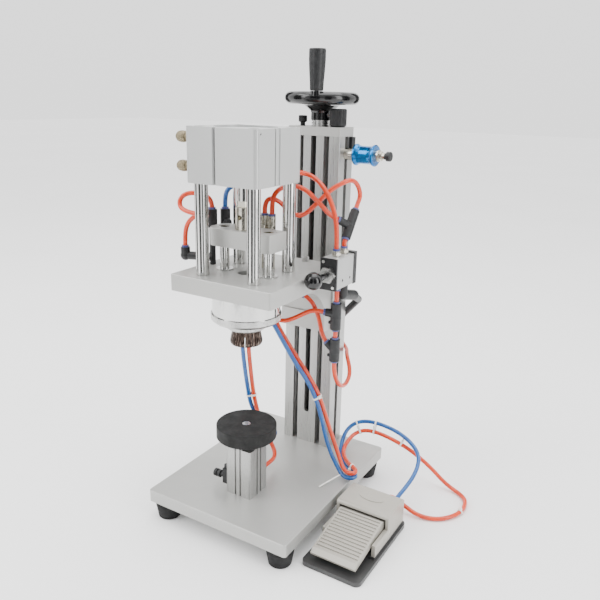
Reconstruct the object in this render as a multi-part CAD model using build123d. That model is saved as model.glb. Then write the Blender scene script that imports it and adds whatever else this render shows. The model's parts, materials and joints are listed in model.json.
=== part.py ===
from build123d import *
import os
from math import cos, sin, pi, tan, radians

os.makedirs("parts", exist_ok=True)

# ---- driving dimensions, mm: +Z up, +X to the right, -Y towards the operator ----
BASE_W = 220.0
BASE_D = 280.0
BASE_T = 17.0
FOOT_H = 25.0
BASE_TOP = FOOT_H + BASE_T
COL_W = 80.0
COL_D = 40.0
COL_Y = 112.0            # column and lead screw axis
COL_TOP = 507.0
TOP_T = 12.0
HEAD_Y = -65.5           # axis of the press head
PLATE_TOP = 347.7
PLATE_T = 20.6
PLATE_BOT = PLATE_TOP - PLATE_T
CYL_W = 95.0
CYL_BOT = 458.5
CYL_TOP = 522.5
POST_P = 37.5
POST_R = 8.0
ROD_X = 33.0
ROD_R = 6.0
BAR_BOT = 380.5
BAR_TOP = 402.5
STROKE = 15.0
TUBE_R = 3.0
DISC_R = 40.0
DISC_TOP = 142.0
DISC_T = 20.0
PED_W = 40.0
PED_TOP = 112.0
WHEEL_R = 51.0
WHEEL_Z = 556.0
VALVE_X = 86.0           # hand valve and the fittings under it


def save(name, *shapes):
    """Write the solids of one node."""
    solids = []
    for s in shapes:
        solids.extend(s.solids())
    out = Compound(children=solids) if len(solids) > 1 else solids[0]
    export_step(out, f"parts/{name}.step")


def block(x0, x1, y0, y1, z0, z1):
    b = Box(x1 - x0, y1 - y0, z1 - z0)
    return Pos((x0 + x1) / 2, (y0 + y1) / 2, (z0 + z1) / 2) * b


def rod(x, y, z0, z1, r):
    return Pos(x, y, (z0 + z1) / 2) * Cylinder(r, z1 - z0)


def rod_x(x0, x1, y, z, r):
    return Pos((x0 + x1) / 2, y, z) * Rot(0, 90, 0) * Cylinder(r, x1 - x0)


def rod_y(x, y0, y1, z, r):
    return Pos(x, (y0 + y1) / 2, z) * Rot(90, 0, 0) * Cylinder(r, y1 - y0)


def ring(x, y, z0, z1, r, hole):
    return rod(x, y, z0, z1, r) - rod(x, y, z0 - 1, z1 + 1, hole)


def cone(x, y, z0, z1, r0, r1):
    return Pos(x, y, (z0 + z1) / 2) * Cone(r0, r1, z1 - z0)


def hexagon(x, y, z0, z1, flats):
    s = extrude(RegularPolygon(flats / 2, 6, major_radius=False), z1 - z0)
    return Pos(x, y, z0) * s


def turned(points, x=0.0, y=0.0):
    """A solid turned about Z from (radius, z) points."""
    face = make_face(Polyline(*[(r, 0, z) for r, z in points], close=True))
    return Pos(x, y, 0) * revolve(face, Axis.Z)


def soft(box, r, axis=Axis.Z):
    return fillet(box.edges().filter_by(axis), r)


def cap_screw(x, y, z, d, head_only=0.0, length=12.0):
    """A socket cap screw with its head's seat at z, pointing down."""
    head = rod(x, y, z, z + d, d * 0.8) - hexagon(x, y, z + d * 0.45, z + d + 1, d * 0.82)
    return head + rod(x, y, z - length, z, d / 2 - 0.15)


def tube(points, r=TUBE_R, name=""):
    """A soft tube: straight runs joined by arcs as large as the runs allow."""
    v = [Vector(*p) for p in points]
    radii = []
    for a, b, c in zip(v, v[1:], v[2:]):
        turn = (b - a).get_angle(c - b)
        run = min((b - a).length, (c - b).length)
        radii.append(0.45 * run / tan(radians(turn) / 2))
    path = FilletPolyline(*points, radius=radii)
    first = Plane(origin=path @ 0, z_dir=path % 0)
    solid = sweep(first * Circle(r), path=path)
    want = pi * r * r * path.length
    print(name, "len", round(path.length), "min r", round(min(radii), 1), "vol", round(solid.volume / want, 4))
    return solid


def collar(p, d, r=4.6, t=2.6):
    """A release collar around the tube, standing on p and pointing along d."""
    pl = Plane(origin=p, z_dir=d)
    return extrude(pl * (Circle(r) - Circle(TUBE_R)), t)


def limb(a, b, r, hole=0.0):
    """A round limb from a to b with an open end at b."""
    v = Vector(*b) - Vector(*a)
    s = extrude(Plane(origin=a, z_dir=v) * Circle(r), v.length)
    if hole:
        s -= extrude(Plane(origin=b, z_dir=v) * Circle(TUBE_R), -hole)
    return s


# ================= base, feet, column =================
base = soft(block(-BASE_W / 2, BASE_W / 2, -BASE_D / 2, BASE_D / 2, FOOT_H, BASE_TOP), 4)
base = chamfer(base.edges().group_by(Axis.Z)[-1], 0.8)
COL_SCREWS = [(-20.0, COL_Y), (20.0, COL_Y)]
FEET = [(sx * 91.0, sy * 121.0) for sx in (-1, 1) for sy in (-1, 1)]
PED_SCREWS = [(-14.0, HEAD_Y - 14.0), (14.0, HEAD_Y + 14.0)]
for x, y in COL_SCREWS:
    base -= rod(x, y, FOOT_H - 1, BASE_TOP + 1, 4.2)
    base -= rod(x, y, FOOT_H - 1, FOOT_H + 8.5, 7.0)
for x, y in PED_SCREWS:
    base -= rod(x, y, FOOT_H - 1, BASE_TOP + 1, 2.2)
    base -= rod(x, y, FOOT_H - 1, FOOT_H + 5.0, 4.0)
for x, y in FEET:
    base -= rod(x, y, FOOT_H - 1, FOOT_H + 12, 4.0)
save("base_plate", base)


def foot(x, y):
    f = turned([(0, 0), (13.5, 0), (15.0, 1.0), (18.0, 19.0), (17.6, 23.0),
                (16.0, FOOT_H), (0, FOOT_H)], x, y)
    return f - rod(x, y, 8, FOOT_H + 1, 4.0)


save("feet", *[foot(x, y) for x, y in FEET])

screws = []
for x, y in COL_SCREWS:
    s = rod(x, y, FOOT_H + 0.5, FOOT_H + 8.5, 6.5)
    s -= hexagon(x, y, FOOT_H - 1, FOOT_H + 4.5, 6.0)
    screws.append(s + rod(x, y, FOOT_H + 8.5, BASE_TOP + 22, 3.4))
for x, y in PED_SCREWS:
    s = rod(x, y, FOOT_H + 1.0, FOOT_H + 5.0, 3.6)
    s -= hexagon(x, y, FOOT_H, FOOT_H + 3.0, 3.0)
    screws.append(s + rod(x, y, FOOT_H + 5.0, BASE_TOP + 12, 1.95))
for x, y in FEET:
    screws.append(rod(x, y, 8.0, FOOT_H + 12, 4.0))
save("base_screws", *screws)


def slot_face(cx, cy, ang):
    """The section of one T-slot: mouth, lips and a tapered chamber."""
    pts = [(-4.1, 1), (-4.1, -4.4), (-10.0, -4.4), (-10.0, -7.0), (-5.4, -11.8),
           (5.4, -11.8), (10.0, -7.0), (10.0, -4.4), (4.1, -4.4), (4.1, 1)]
    return Pos(cx, cy) * Rot(0, 0, ang) * make_face(Polyline(*pts, close=True))


section = Sketch() + Pos(0, COL_Y) * RectangleRounded(COL_W, COL_D, 1.5)
for sx in (-20.0, 20.0):
    section -= slot_face(sx, COL_Y - COL_D / 2, 180)
    section -= slot_face(sx, COL_Y + COL_D / 2, 0)
    section -= Pos(sx, COL_Y) * Circle(3.4)
section -= slot_face(-COL_W / 2, COL_Y, 90)
section -= slot_face(COL_W / 2, COL_Y, -90)
section -= Pos(0, COL_Y) * RectangleRounded(17.0, 27.0, 1.5)
for sx in (-1, 1):
    for sy in (-1, 1):
        section -= Pos(sx * 35.2, COL_Y + sy * 15.2) * Circle(2.4)
column = extrude(Pos(0, 0, BASE_TOP) * section, COL_TOP - BASE_TOP)
SLOT_Z0 = 92.7
way = block(-4.2, 4.2, COL_Y - 21, COL_Y - 12, SLOT_Z0 + 4.2, COL_TOP + 1)
way += rod_y(0, COL_Y - 21, COL_Y - 12, SLOT_Z0 + 4.2, 4.2)
save("column_profile", column - way)

top = soft(block(-41, 41, COL_Y - 21, COL_Y + 20, COL_TOP, COL_TOP + TOP_T), 3)
top -= rod(0, COL_Y, COL_TOP - 1, COL_TOP + TOP_T + 1, 7.0)
KNOB = (31.0, COL_Y - 9.5)
THUMB = (-27.5, COL_Y - 4)
top -= rod(*KNOB, COL_TOP + 2, COL_TOP + TOP_T + 1, 4.05)
top -= rod(*THUMB, COL_TOP + 2, COL_TOP + TOP_T + 1, 2.55)
save("column_top_plate", top)

washers = []
for i, (r, t) in enumerate([(13.5, 1.6), (12.2, 1.8), (13.5, 1.6), (12.2, 1.8), (13.5, 1.6)]):
    z = COL_TOP + TOP_T + [0, 1.6, 3.4, 5.0, 6.8][i]
    washers.append(ring(0, COL_Y, z, z + t, r, 6.06))
save("thrust_washers", *washers)

# ================= lead screw and handwheel =================
LEAD_TOP = 543.0
screw = rod(0, COL_Y, 62.0, 505.0, 6.0) + rod(0, COL_Y, 505.0, LEAD_TOP, 6.0)
save("lead_screw", screw)

Z0 = COL_TOP + TOP_T + 8.4
hub = [(6.0, Z0), (14.5, Z0), (14.5, 537.0), (15.5, 539.5), (24.0, 546.4),
       (34.0, 549.6), (40.0, 551.4), (40.0, 558.0), (33.0, 557.0), (22.0, 554.0),
       (15.0, 551.0), (9.0, 549.6), (6.0, 549.0)]
wheel = turned(hub, 0, COL_Y)
RIM_R = WHEEL_R - 8.2
rim = Pos(0, COL_Y, WHEEL_Z) * Torus(RIM_R, 8.2)
wheel = wheel + rim
HX, HY = 14.0, COL_Y - 40.4
wheel += cone(HX, HY, 558.0, 564.5, 8.4, 7.8)
wheel -= rod(HX, HY, 550.0, 570.0, 3.0)
SET_WAY = Pos(0, COL_Y, 534.5) * Rot(0, 0, -22) * Rot(0, 90, 0)
set_hole = SET_WAY * Pos(0, 0, 11.1) * Cylinder(3.05, 8.8)
wheel -= set_hole
save("handwheel", wheel)

pin = rod(HX, HY, 550.0, 613.0, 3.0) + rod(HX, HY, 613.0, 615.0, 4.4)
pin -= hexagon(HX, HY, 613.4, 616, 3.6)
setsc = SET_WAY * Pos(0, 0, 10.7) * Cylinder(3.0, 7.6)
setsc -= SET_WAY * Pos(0, 0, 13.4) * Cylinder(1.6, 3.0)
save("wheel_screws", pin, setsc)

grip = turned([(3.06, 564.9), (8.0, 564.9), (8.8, 566.1), (9.2, 576.0), (10.2, 589.0),
               (10.9, 602.5), (10.9, 615.0), (10.2, 616.4), (4.7, 616.4), (4.7, 612.9),
               (3.06, 612.9)], HX, HY)
save("handle_grip", grip)

knob = turned([(0, 519.1), (9.0, 519.1), (9.6, 520.0), (11.4, 521.5), (11.4, 541.6),
               (10.4, 542.8), (0, 542.8)], *KNOB)
for i in range(24):
    a = 2 * pi * i / 24
    knob -= rod(KNOB[0] + 11.9 * cos(a), KNOB[1] + 11.9 * sin(a), 523.0, 546.0, 0.95)
knob += rod(*KNOB, COL_TOP + 3, 519.6, 3.98)
save("clamp_knob", knob)

thumb = turned([(0, 519.1), (3.4, 519.1), (3.4, 523.4), (5.4, 524.2), (6.0, 525.2),
                (6.0, 532.0), (5.2, 532.8), (0, 532.8)], *THUMB)
for i in range(16):
    a = 2 * pi * i / 16
    thumb -= rod(THUMB[0] + 6.3 * cos(a), THUMB[1] + 6.3 * sin(a), 525.4, 534.0, 0.6)
thumb += rod(*THUMB, COL_TOP + 3, 519.6, 2.5)
save("thumb_screw", thumb)

# ================= hand slide valve on the column =================
SV_Y, SV_Z = COL_Y, 484.0
bracket = block(40.0, 44.0, SV_Y + 8.4, SV_Y + 19, SV_Z - 6, 506.0)
core = rod_x(40.0, 90.0, SV_Y, SV_Z, 7.9)
core += Pos(90.0, SV_Y, SV_Z) * Rot(0, 90, 0) * extrude(RegularPolygon(5.6, 6, major_radius=False), 4.0)
core += rod_x(94.0, 98.0, SV_Y, SV_Z, 4.4)
save("slide_valve_body", core)
SLV = [(8.0, 54.5), (13.2, 54.5), (14.4, 55.7), (14.4, 57.4), (12.6, 60.5), (12.0, 64.0),
       (12.0, 76.0), (12.6, 79.5), (14.4, 82.6), (14.4, 84.3), (13.2, 85.5), (8.0, 85.5)]
sleeve = revolve(make_face(Polyline(*[(r, 0, z) for r, z in SLV], close=True)), Axis.Z)
sleeve = Pos(0, SV_Y, SV_Z) * Rot(0, 90, 0) * sleeve
save("slide_valve_sleeve", sleeve)
tip = rod_x(98.0, 101.0, SV_Y, SV_Z, 4.0) + rod_x(101.0, 107.0, SV_Y, SV_Z, 6.4)
tip = chamfer(tip.edges().filter_by(GeomType.CIRCLE).sort_by(Axis.X)[-1], 1.0)

# ================= head: carriage, plate, posts, cylinder =================
NUT_Z0, NUT_Z1 = 262.0, 304.0
arc = Pos(0, 20.0, 246.0) * Rot(0, 90, 0) * Cylinder(58.0, 100)
gus = block(-36, 36, 22.0, 91.6, 246.0, PLATE_BOT) - arc
carriage = gus.solids().sort_by(SortBy.VOLUME)[-1]
carriage += block(-36, 36, 74.0, 91.6, 236.0, 262.0)
carriage = Part() + carriage
HEADSC = [(sx * 28.0, y) for sx in (-1, 1) for y in (30.0,)]
for x, y in HEADSC:
    carriage -= rod(x, y, 308.0, PLATE_BOT + 1, 2.95)
save("carriage", carriage)

nut = block(-3.9, 3.9, 91.6, COL_Y - 5, NUT_Z0, NUT_Z1)
nut += block(-7.9, 7.9, COL_Y - 12.2, COL_Y + 12.2, NUT_Z0, NUT_Z1)
nut -= rod(0, COL_Y, NUT_Z0 - 1, NUT_Z1 + 1, 6.06)
save("lift_nut", nut)

plate = block(-72.0, 74.5, HEAD_Y - 58.0, 41.5, PLATE_BOT, PLATE_TOP)
plate = soft(plate, 2.5)
plate = chamfer(plate.edges().group_by(Axis.Z)[-1], 0.7)
plate -= rod(0, HEAD_Y, PLATE_BOT - 1, PLATE_TOP + 1, 11.0)
POSTS = [(sx * POST_P, HEAD_Y + sy * POST_P) for sx in (-1, 1) for sy in (-1, 1)]
GUIDES = [(-ROD_X, HEAD_Y), (ROD_X, HEAD_Y)]
for x, y in POSTS:
    plate -= rod(x, y, PLATE_BOT - 1, PLATE_BOT + 8, 6.0)
    plate -= rod(x, y, PLATE_BOT - 1, PLATE_TOP + 1, 3.2)
for x, y in GUIDES:
    plate -= rod(x, y, PLATE_BOT - 1, PLATE_TOP + 1, 9.5)
for x, y in HEADSC:
    plate -= rod(x, y, PLATE_BOT - 1, PLATE_TOP + 1, 3.2)
RISERS = [(-61.0, -54.0), (-54.0, -36.0), (3.0, -30.0), (14.0, -30.0)]
for x, y in RISERS:
    plate -= rod(x, y, PLATE_TOP - 6, PLATE_TOP + 1, 4.0)
save("head_plate", plate)

bushes = []
for x, y in GUIDES:
    bushes.append(ring(x, y, PLATE_BOT, PLATE_TOP, 9.5, ROD_R + 0.04)
                  + ring(x, y, PLATE_TOP, PLATE_TOP + 1.6, 11.0, ROD_R + 0.04))
save("guide_bushes", *bushes)

posts = []
for x, y in POSTS:
    p = rod(x, y, PLATE_TOP, CYL_BOT, POST_R)
    p = chamfer(p.edges().filter_by(GeomType.CIRCLE), 0.6)
    posts.append(p)
save("posts", *posts)

CF, CR, CB, CL = 48.0, 48.5, 46.0, 51.5    # axis to the front, right, back and left faces
body = block(-CL, CR, HEAD_Y - CF, HEAD_Y + CB, CYL_BOT, CYL_TOP)
body = soft(body, 5.0)
for a, face in ((0, CF), (90, CR), (180, CB), (270, CL)):
    cut = block(-12.0, -1.0, -face - 1, -face + 1.0, CYL_BOT - 1, CYL_TOP + 1)
    cut += block(-11.2, -8.6, -face - 1, -face + 4.6, CYL_BOT - 1, CYL_TOP + 1)
    body -= Pos(0, HEAD_Y, 0) * Rot(0, 0, a) * cut
CYL_R = 38.0
body -= rod(0, HEAD_Y, CYL_BOT - 1, CYL_TOP + 1, CYL_R)
CORN = [(sx * 37.5, HEAD_Y + sy * 37.5) for sx in (-1, 1) for sy in (-1, 1)]
for x, y in CORN:
    body -= rod(x, y, CYL_TOP - 8, CYL_TOP + 1, 6.6)
PORTS = [(HEAD_Y - 26.0, 509.0), (HEAD_Y - 26.0, 475.0)]
for y, z in PORTS:
    body -= rod_x(-CL - 1, -CL + 6, y, z, 5.0)
BACKP = [(30.0, 467.0)]
BACKE = (-30.0, 471.0)
body -= rod_x(CR - 3, CR + 1, HEAD_Y - 40, 517.0, 1.2)
save("cylinder_body", body)

cap_top = rod(0, HEAD_Y, CYL_TOP - 9, CYL_TOP - 2.0, CYL_R)
cap_bot = ring(0, HEAD_Y, CYL_BOT + 1.0, CYL_BOT + 13.0, CYL_R, 11.05)
save("cylinder_covers", cap_top, cap_bot)

hs = []
for x, y in HEADSC:
    hs.append(cap_screw(x, y, PLATE_TOP, 6.0, length=34.0))
for x, y in CORN:
    s = rod(x, y, CYL_TOP - 8, CYL_TOP - 1.0, 6.2) - hexagon(x, y, CYL_TOP - 4.5, CYL_TOP, 5.8)
    hs.append(s)
for x, y in POSTS:
    s = rod(x, y, PLATE_BOT + 0.5, PLATE_BOT + 8, 5.6) - hexagon(x, y, PLATE_BOT, PLATE_BOT + 4, 5.0)
    hs.append(s + rod(x, y, PLATE_BOT + 8, PLATE_TOP, 3.0))
save("head_screws", *hs)

sil = []
for y, z in PORTS:
    prof = [(0, -5.8), (4.6, -5.8), (4.6, 1.2), (6.9, 1.2), (6.9, 6.2), (4.2, 6.8), (4.2, 15.6),
            (5.4, 16.2), (6.7, 18.6), (6.9, 22.6), (6.2, 26.6), (4.4, 29.0), (2.0, 29.8), (2.0, 26.6), (0, 26.6)]
    s = revolve(make_face(Polyline(*[(r, 0, h) for r, h in prof], close=True)), Axis.Z)
    sil.append(Pos(-CL, y, z) * Rot(0, -90, 0) * s)
save("silencers", *sil)

# ================= crosshead, piston and closing sleeve =================
bar = block(-47.0, 47.0, HEAD_Y - 18.5, HEAD_Y + 18.5, BAR_BOT, BAR_TOP)
bar = fillet(bar.edges().filter_by(Axis.Z).group_by(Axis.X)[0], 12.0)
bar = fillet(bar.edges().filter_by(Axis.Z).group_by(Axis.X)[-1], 2.0)
bar = chamfer(bar.edges().group_by(Axis.Z)[-1], 0.6)
for x, y in GUIDES:
    bar -= rod(x, y, BAR_BOT - 1, BAR_TOP + 1, 4.2)
    bar -= rod(x, y, BAR_BOT - 1, BAR_BOT + 6, ROD_R)
    bar -= rod(x, y, BAR_TOP - 6.5, BAR_TOP + 1, 7.0)
bar -= rod(0, HEAD_Y, BAR_BOT + 8, BAR_TOP + 1, 6.0)
bar -= rod(41.0, HEAD_Y + 4, BAR_TOP - 8, BAR_TOP + 1, 1.6)
save("crosshead", bar)

gr = []
for x, y in GUIDES:
    g = rod(x, y, 325.5, BAR_BOT + 6, ROD_R)
    gr.append(chamfer(g.edges().filter_by(GeomType.CIRCLE).sort_by(Axis.Z)[0], 0.8))
save("guide_rods", *gr)

bs = []
for x, y in GUIDES:
    s = rod(x, y, BAR_TOP - 6.5, BAR_TOP - 0.5, 6.5) - hexagon(x, y, BAR_TOP - 4, BAR_TOP, 6.0)
    bs.append(s + rod(x, y, BAR_BOT + 6, BAR_TOP - 6.5, 4.0))

piston = rod(0, HEAD_Y, 490.0, 506.0, CYL_R - 0.06) + rod(0, HEAD_Y, 437.0, 490.0, 11.0)
piston += rod(0, HEAD_Y, 424.0, 437.0, 6.0)
save("piston_rod", piston)

cpl = hexagon(0, HEAD_Y, 430.4, 437.0, 19.0) - rod(0, HEAD_Y, 429, 438, 6.0)
cup = ring(0, HEAD_Y, BAR_TOP, 430.4, 13.4, 6.0) - rod(0, HEAD_Y, BAR_TOP - 1, 424.0, 5.0)
cup = chamfer(cup.edges().filter_by(GeomType.CIRCLE).group_by(Axis.Z)[-1], 0.8)
cup -= rod_y(0, HEAD_Y - 20, HEAD_Y + 20, 418.0, 3.0) - rod(0, HEAD_Y, 400, 440, 6.5)
save("coupling", cpl, cup, *bs)

cl = ring(0, HEAD_Y, 315.5, 325.5, 38.9, 18.0)
cl += ring(0, HEAD_Y, 314.9, 317.5, 24.0, 18.0)
save("closing_ring", cl)

# ================= collet unit =================
HZ0, HZ1 = 297.5, PLATE_BOT
house = ring(0, HEAD_Y, HZ0, HZ1, 42.7, 39.4) + ring(0, HEAD_Y, HZ0, HZ0 + 2.0, 42.0, 17.0)
save("collet_housing", house)
fl = ring(0, HEAD_Y, 287.5, HZ0, 44.4, 17.0)
fl = chamfer(fl.edges().filter_by(GeomType.CIRCLE).group_by(Axis.Z)[0].sort_by(SortBy.LENGTH)[-1], 3.0)
save("collet_flange", fl)
kr = turned([(17.2, 287.2), (25.7, 287.2), (25.7, 281.5), (24.8, 278.1), (22.0, 275.9),
             (19.6, 275.3), (17.2, 275.3)], 0, HEAD_Y)
save("adjusting_ring", kr)
fingers = turned([(14.0, 287.4), (17.0, 287.4), (17.0, 274.5), (17.9, 274.1), (20.6, 260.5),
                  (20.4, 257.9), (19.4, 256.1), (16.4, 256.1), (15.2, 257.5), (14.0, 273.5)], 0, HEAD_Y)
fingers += ring(0, HEAD_Y, 287.4, 300.5, 16.9, 15.9)
for i in range(12):
    slit = block(0, 30, -0.55, 0.55, 254.5, 281.5)
    fingers -= Pos(0, HEAD_Y, 0) * Rot(0, 0, 30 * i) * slit
for i in range(36):
    if i % 3:
        rib = block(21.4, 19.4 + 4, -0.6, 0.6, 257.0, 273.5)
        fingers -= Pos(0, HEAD_Y, 0) * Rot(0, 0, 10 * i) * Pos(-2.6, 0, 0) * rib
save("collet", fingers)

# ================= pull valve on the head plate =================
VX0, VX1 = 74.5, 97.0
VZ0, VZ1 = PLATE_BOT + 0.3, 367.0
vb = block(VX0, VX1, -9.0, 35.0, VZ0, VZ1)
vb = chamfer(vb.edges().filter_by(Axis.Y), 0.8)
vb -= rod_y(VALVE_X, -10, 36, 347.0, 5.0)
VTOP = [(VALVE_X, 7.5), (VALVE_X, 28.0)]
VBOT = [(VALVE_X, 13.0), (VALVE_X, 28.5)]
for x, y in VTOP:
    vb -= rod(x, y, VZ1 - 7, VZ1 + 1, 4.5)
for x, y in VBOT:
    vb -= rod(x, y, VZ0 - 1, VZ0 + 7, 4.5)
for y in (6.0, 26.0):
    vb -= rod_x(VX1 - 9, VX1 + 1, y, 337.5, 1.9)
save("valve_body", vb)
vp0 = block(VX0, VX1 + 0.4, -12.0, -9.0, VZ0 - 0.4, VZ1 + 0.4) - rod_y(VALVE_X, -13, -8, 347.0, 5.0)
vp1 = block(VX0, VX1 + 0.8, 35.0, 44.0, VZ0 - 0.4, VZ1 + 2.0)
vp1 = chamfer(vp1.edges().group_by(Axis.Y)[-1], 1.5)
save("valve_plates", vp0, vp1)
vn = extrude(RegularPolygon(9.4, 6, major_radius=False), 5.0)
vn = Pos(VALVE_X, -12.0, 347.0) * Rot(90, 0, 0) * vn
vn = vn + rod_y(VALVE_X, -18.0, -12.0, 347.0, 7.6) - rod_y(VALVE_X, -19, -11, 347.0, 4.05)
vsc = [rod_y(x, -13.0, -12.0, z, 1.9) for x, z in ((79.0, 363.0), (93.0, 331.0))]
save("valve_nut", vn, *vsc)
vk = rod_y(VALVE_X, -44.0, 20.0, 347.0, 4.0) + Pos(VALVE_X, -48.5, 347.0) * Sphere(11.0)
vk += rod_y(VALVE_X, -10.0, 20.0, 347.0, 4.0)
save("valve_knob", vk)

# ================= push-in fittings: metal bases, black bodies, collars =================
metal = []
for x, y in VTOP:
    metal.append(rod(x, y, VZ1 - 7, VZ1 + 1.5, 4.5) + hexagon(x, y, VZ1 + 1.5, VZ1 + 5.0, 10.6)
                 + rod(x, y, VZ1 + 5.0, VZ1 + 7.0, 5.0) - rod(x, y, VZ1 + 1, VZ1 + 8, TUBE_R))
x, y = VBOT[0]
metal.append(rod(x, y, VZ0 - 4.0, VZ0 + 7, 4.5) - rod(x, y, VZ0 - 5, VZ0 - 1, TUBE_R))
for x, y in RISERS[2:]:
    r = rod(x, y, PLATE_TOP - 6, 398.0, 3.9) + hexagon(x, y, 398.0, 403.0, 9.4)
    r += rod(x, y, 403.0, 415.0, 4.9)
    metal.append(r - rod(x, y, 410.0, 416.0, TUBE_R))
UNDER = [(-10.0, -13.0), (-4.0, -1.0), (6.0, -12.5), (-42.0, -14.0), (-31.0, -8.0)]
for x, y in UNDER:
    metal.append(hexagon(x, y, 318.0, PLATE_BOT, 9.4) + rod(x, y, 306.0, 318.0, 4.9)
                 - rod(x, y, 305.0, 311.0, TUBE_R))
v = limb((28.0, 5.0, 314.0), (40.0, 7.0, 309.0), 4.9, 6) + Pos(28.0, 5.0, 314.0) * Sphere(4.9)
metal.append(v + rod(28.0, 5.0, 314.0, PLATE_BOT, 4.9))
CY1 = HEAD_Y + CB
for x, z in BACKP:
    m = rod_y(x, CY1, CY1 + 5.0, z, 5.4) + rod_y(x, CY1 + 5.0, CY1 + 12.0, z, 4.9)
    metal.append(m - rod_y(x, CY1 + 7.0, CY1 + 13.0, z, TUBE_R))


x, z = BACKE
v = rod_y(x, CY1, CY1 + 9.5, z, 5.0) + Pos(x, CY1 + 9.5, z) * Sphere(5.0)
metal.append(v + limb((x, CY1 + 9.5, z), (x, CY1 + 9.5, z - 8.0), 4.9, 5))
save("metal_fittings", *metal)

black = []
# lower tees, hanging one under the other below the valve
T1 = (VALVE_X, 13.0, 284.0)
t1 = limb((VALVE_X, 13.0, 284.0), (VALVE_X, 13.0, 303.5), 7.0, 6)
t1 += limb((VALVE_X, 13.0, 284.0), (VALVE_X, 13.0, 268.5), 7.0, 6)
P1A, P1B = (86.0, 13.0, 289.0), (73.5, 7.5, 291.0)
t1 += limb(P1A, P1B, 5.4, 6) + Pos(*T1) * Sphere(7.2)
t1 += rod_x(78.0, 86.0, 9.5, 277.5, 2.2)
black.append(t1)
T2 = (VALVE_X, 13.0, 236.0)
t2 = limb(T2, (VALVE_X, 13.0, 254.5), 7.0, 6) + limb(T2, (VALVE_X, 13.0, 224.5), 7.0, 6)
P2A, P2B = (86.0, 13.0, 238.0), (75.5, 11.0, 248.5)
t2 += limb(P2A, P2B, 5.2, 6) + Pos(*T2) * Sphere(7.2)
t2 += rod_x(78.0, 86.0, 9.5, 232.0, 2.2)
black.append(t2)
# upper tee, leaning back
UA, UB, UM = (86.0, 32.0, 386.0), (86.0, 55.0, 418.0), (86.0, 42.0, 400.0)
t3 = limb(UM, UA, 6.0, 6) + limb(UM, UB, 6.0, 6) + Pos(*UM) * Sphere(6.2)
P3 = (76.0, 31.0, 408.0)
t3 += limb(UM, P3, 5.2, 6)
black.append(t3)
# elbow under the rear of the valve, with a long arm to behind the column
EL1, EL2, EL3 = (63.0, 126.0, 277.0), (20.0, 150.0, 233.0), (20.0, 150.0, 222.0)
x, y = VBOT[1]
el = rod(x, y, 318.0, VZ0 + 7, 4.5) + rod(x, y, 312.0, VZ0, 7.0) + Pos(x, y, 312.0) * Sphere(7.0)
el += limb((x, y, 312.0), (x, 62.0, 303.0), 7.0) + Pos(x, 62.0, 303.0) * Sphere(7.0)
el += limb((x, 62.0, 303.0), EL1, 5.2) + Pos(*EL1) * Sphere(5.2)
el += limb(EL1, EL2, 5.2) + Pos(*EL2) * Sphere(5.4)
el += limb(EL2, EL3, 5.4, 6)
black.append(el)
# risers and fittings at the left
rx, ry = RISERS[0]
lf = rod(rx, ry, PLATE_TOP - 6, 398.0, 3.9) + rod(rx, ry, 396.0, 419.0, 6.4)
lf += limb((rx, ry, 357.0), (-95.5, -67.0, 357.0), 5.4) + Pos(-95.5, -67.0, 357.0) * Sphere(6.6)
lf += limb((-95.5, -67.0, 357.0), (-95.5, -67.0, 368.0), 6.0, 6)
black.append(lf - rod(rx, ry, 413.0, 420.0, TUBE_R))
rx, ry = RISERS[1]
lf = rod(rx, ry, PLATE_TOP - 6, 398.0, 3.9) + rod(rx, ry, 396.0, 418.0, 6.4)
lf += limb((rx, ry, 401.0), (-49.0, -38.0, 401.0), 5.6) + Pos(-49.0, -38.0, 401.0) * Sphere(5.6)
black.append(lf - rod(rx, ry, 412.0, 419.0, TUBE_R))
save("black_fittings", *black)

UP = (0, 0, 1)
DN = (0, 0, -1)
cols = [collar((x, y, VZ1 + 7.0), UP) for x, y in VTOP]
cols.append(collar((VALVE_X, 13.0, VZ0 - 4.0), DN))
cols += [collar((x, y, 415.0), UP) for x, y in RISERS[2:]]
cols += [collar((x, y, 306.0), DN) for x, y in UNDER]
cols += [collar((x, CY1 + 12.0, z), (0, 1, 0)) for x, z in BACKP]
cols += [collar((VALVE_X, 13.0, 303.5), UP), collar((VALVE_X, 13.0, 268.5), DN)]
cols += [collar((VALVE_X, 13.0, 254.5), UP), collar((VALVE_X, 13.0, 224.5), DN)]
for a, b in ((P1A, P1B), (P2A, P2B), (UM, UA), (UM, UB), (UM, P3)):
    cols.append(collar(b, Vector(*b) - Vector(*a)))
cols += [collar((40.0, 7.0, 309.0), (12.0, 2.0, -5.0)), collar(EL3, DN)]
cols += [collar((BACKE[0], CY1 + 9.5, BACKE[1] - 8.0), DN)]
cols += [collar((RISERS[0][0], RISERS[0][1], 419.0), UP), collar((RISERS[1][0], RISERS[1][1], 418.0), UP)]
cols += [collar((-95.5, -67.0, 368.0), UP)]
save("fitting_collars", *cols)

# ================= pedestal =================
PW = PED_W / 2
ped = block(-PW, PW, HEAD_Y - PW, HEAD_Y + PW, BASE_TOP, PED_TOP)
ped = soft(ped, 3.0)
for a in (0, 90, 180, 270):
    cut = block(-5.2, -2.6, -PW - 1, -PW + 2.2, BASE_TOP - 1, PED_TOP + 1)
    cut += block(2.6, 5.2, -PW - 1, -PW + 2.2, BASE_TOP - 1, PED_TOP + 1)
    ped -= Pos(0, HEAD_Y, 0) * Rot(0, 0, a) * cut
ped -= rod(0, HEAD_Y, BASE_TOP + 16, PED_TOP - 9, 12.5)
ped -= rod(0, HEAD_Y, PED_TOP - 10, PED_TOP + 1, 6.06)
for x, y in PED_SCREWS:
    ped -= rod(x, y, BASE_TOP - 1, BASE_TOP + 13, 1.95)
PP = [(6.5, 62.0), (6.5, 98.0)]
for x, z in PP:
    ped -= rod_y(x, HEAD_Y + PW - 4, HEAD_Y + PW + 1, z, 3.0)
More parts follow.
